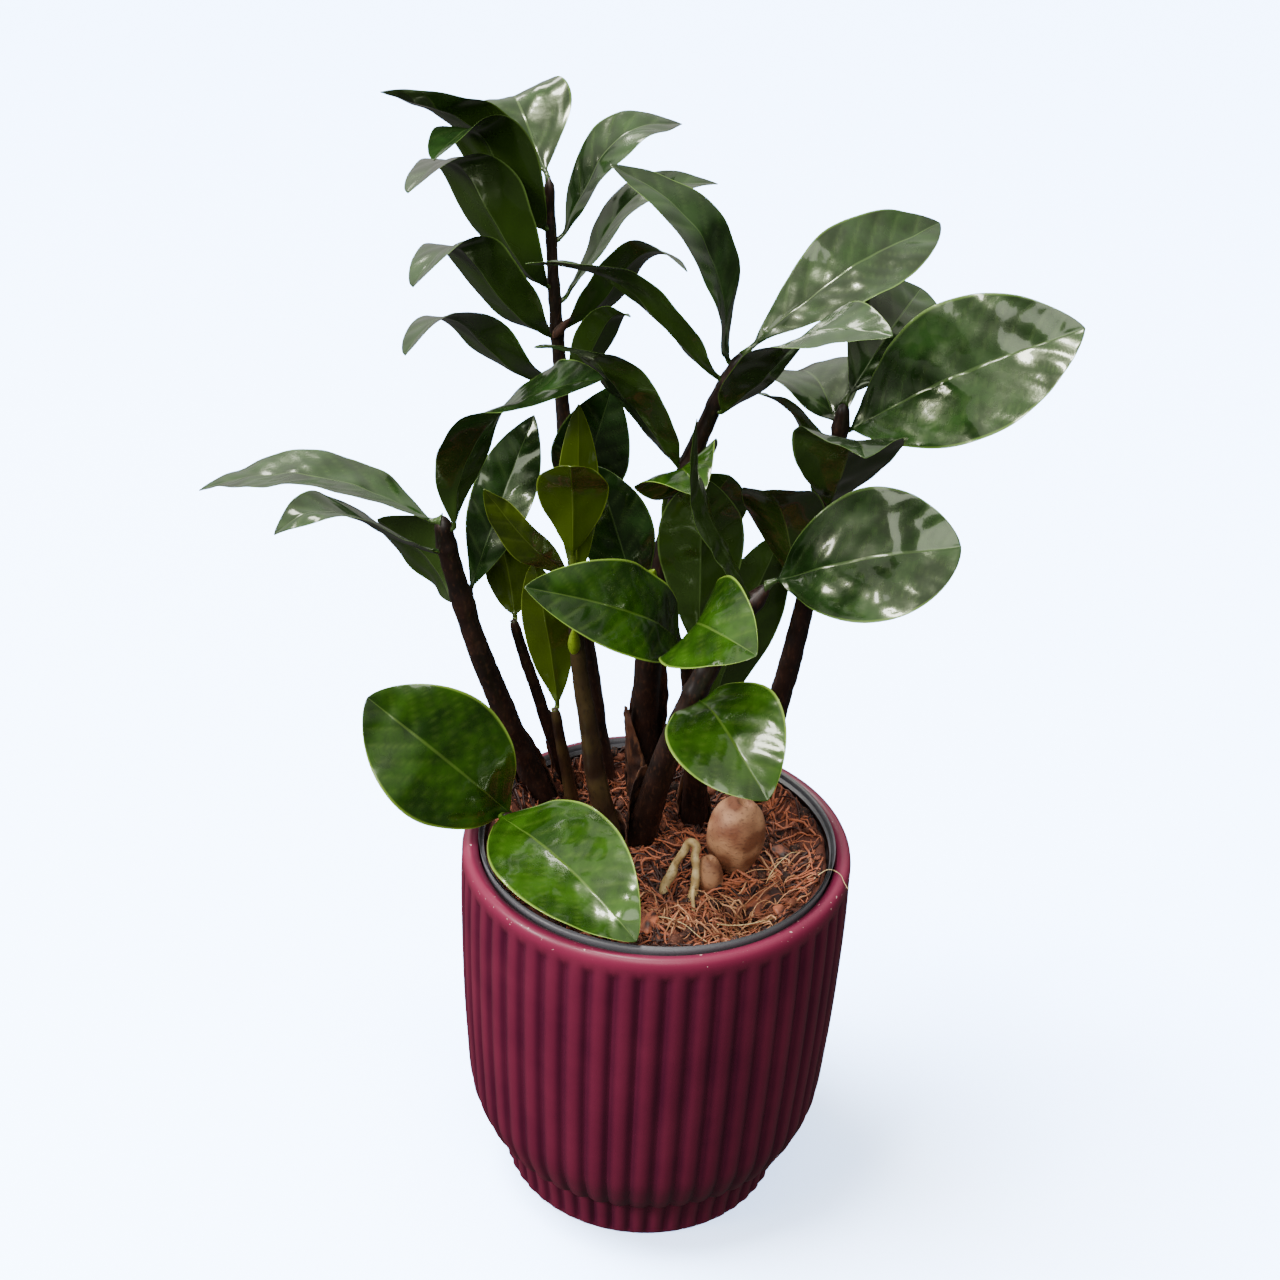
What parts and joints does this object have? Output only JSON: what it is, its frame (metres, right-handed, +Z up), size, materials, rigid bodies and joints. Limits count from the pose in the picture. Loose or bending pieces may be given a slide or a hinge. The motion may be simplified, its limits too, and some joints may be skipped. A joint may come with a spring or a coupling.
{
  "type": "potted zz plant",
  "caption": "Glossy-leaved ZZ plant with upright and arching shoots, planted in a dark nursery liner inside a ribbed maroon cover pot.",
  "frame": {"origin": "centre of the cover pot's flat base", "axes": "+Z up along the pot's axis, -Y towards the front of the plant, +X to its right"},
  "size_m": [0.2845, 0.1626, 0.3973],
  "materials": {
    "glazed_pot": "satin maroon glaze over a ribbed wall",
    "liner": "thin dark moulded plastic",
    "soil": "damp red-brown coir fibre and pith",
    "tuber": "matt tan skin",
    "root": "pale straw-coloured root",
    "stem": "smooth near-black brown stalk",
    "dark_leaf": "waxy high gloss, very dark green",
    "fresh_leaf": "waxy high gloss, bright green",
    "young_leaf": "soft gloss, yellow-green"
  },
  "bodies": {
    "root": {"outer_pot": "glazed_pot", "nursery_liner": "liner", "soil": "soil", "tuber_large": "tuber", "tuber_small": "tuber", "surface_root": "root", "stem_tall": "stem", "stem_mid": "stem", "stem_left": "stem", "stem_front": "stem", "stem_slim_left": "stem", "stem_slim_centre": "stem", "stem_arched": "stem", "stem_inner": "stem", "stem_right": "stem", "stem_low": "stem", "leaf_tall_1": "dark_leaf", "leaf_tall_2": "dark_leaf", "leaf_tall_3": "dark_leaf", "leaf_tall_4": "dark_leaf", "leaf_tall_5": "dark_leaf", "leaf_tall_6": "dark_leaf", "leaf_tall_7": "dark_leaf", "leaf_tall_8": "dark_leaf", "leaf_tall_9": "dark_leaf", "leaf_tall_10": "dark_leaf", "leaf_tall_11": "dark_leaf", "leaf_mid_1": "dark_leaf", "leaf_mid_2": "dark_leaf", "leaf_mid_3": "dark_leaf", "leaf_mid_4": "dark_leaf", "leaf_mid_5": "dark_leaf", "leaf_mid_6": "fresh_leaf", "leaf_mid_7": "dark_leaf", "leaf_mid_8": "dark_leaf", "leaf_right_1": "dark_leaf", "leaf_right_2": "dark_leaf", "leaf_right_3": "dark_leaf", "leaf_right_4": "dark_leaf", "leaf_right_5": "dark_leaf", "leaf_right_6": "dark_leaf", "leaf_arched_1": "dark_leaf", "leaf_arched_2": "dark_leaf", "leaf_left_1": "dark_leaf", "leaf_left_2": "dark_leaf", "leaf_left_3": "dark_leaf", "leaf_left_4": "dark_leaf", "leaf_left_5": "dark_leaf", "leaf_young_1": "young_leaf", "leaf_young_2": "young_leaf", "leaf_young_3": "young_leaf", "leaf_young_4": "young_leaf", "leaf_young_5": "young_leaf", "leaf_front_1": "fresh_leaf", "leaf_front_2": "fresh_leaf", "leaf_front_3": "fresh_leaf", "leaf_inner_1": "dark_leaf", "leaf_inner_2": "dark_leaf", "leaf_low_1": "fresh_leaf", "leaf_low_2": "fresh_leaf"}
  },
  "joints": []
}
